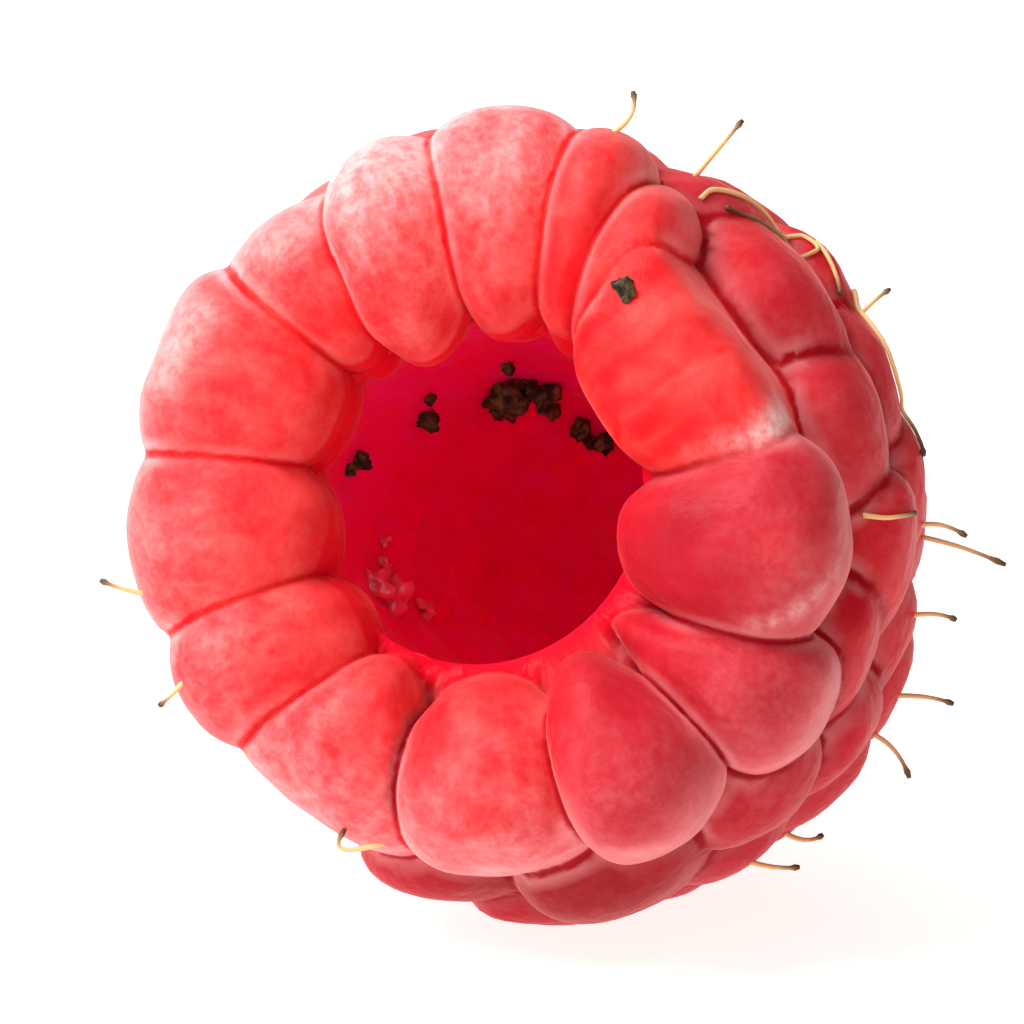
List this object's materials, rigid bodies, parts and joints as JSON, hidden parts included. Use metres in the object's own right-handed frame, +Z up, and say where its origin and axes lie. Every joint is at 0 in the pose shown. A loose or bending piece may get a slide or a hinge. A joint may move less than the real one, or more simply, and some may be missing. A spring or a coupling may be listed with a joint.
{
  "type": "raspberry",
  "caption": "Ripe red raspberry picked off its core, lying on its flank with the round hollow open to one side.",
  "frame": {"origin": "centre of the berry's footprint on the surface that it lies on", "axes": "+Z up; the open end faces -Y and is turned 18 degrees up; the tip points to +Y and down; +X to the right seen from the open end"},
  "size_m": [0.0188, 0.0218, 0.0204],
  "materials": {
    "drupelet_flesh": "satin",
    "dried_style": "matte",
    "dried_crumb": "matte"
  },
  "bodies": {
    "root": {"raspberry": "drupelet_flesh"}
  },
  "joints": []
}
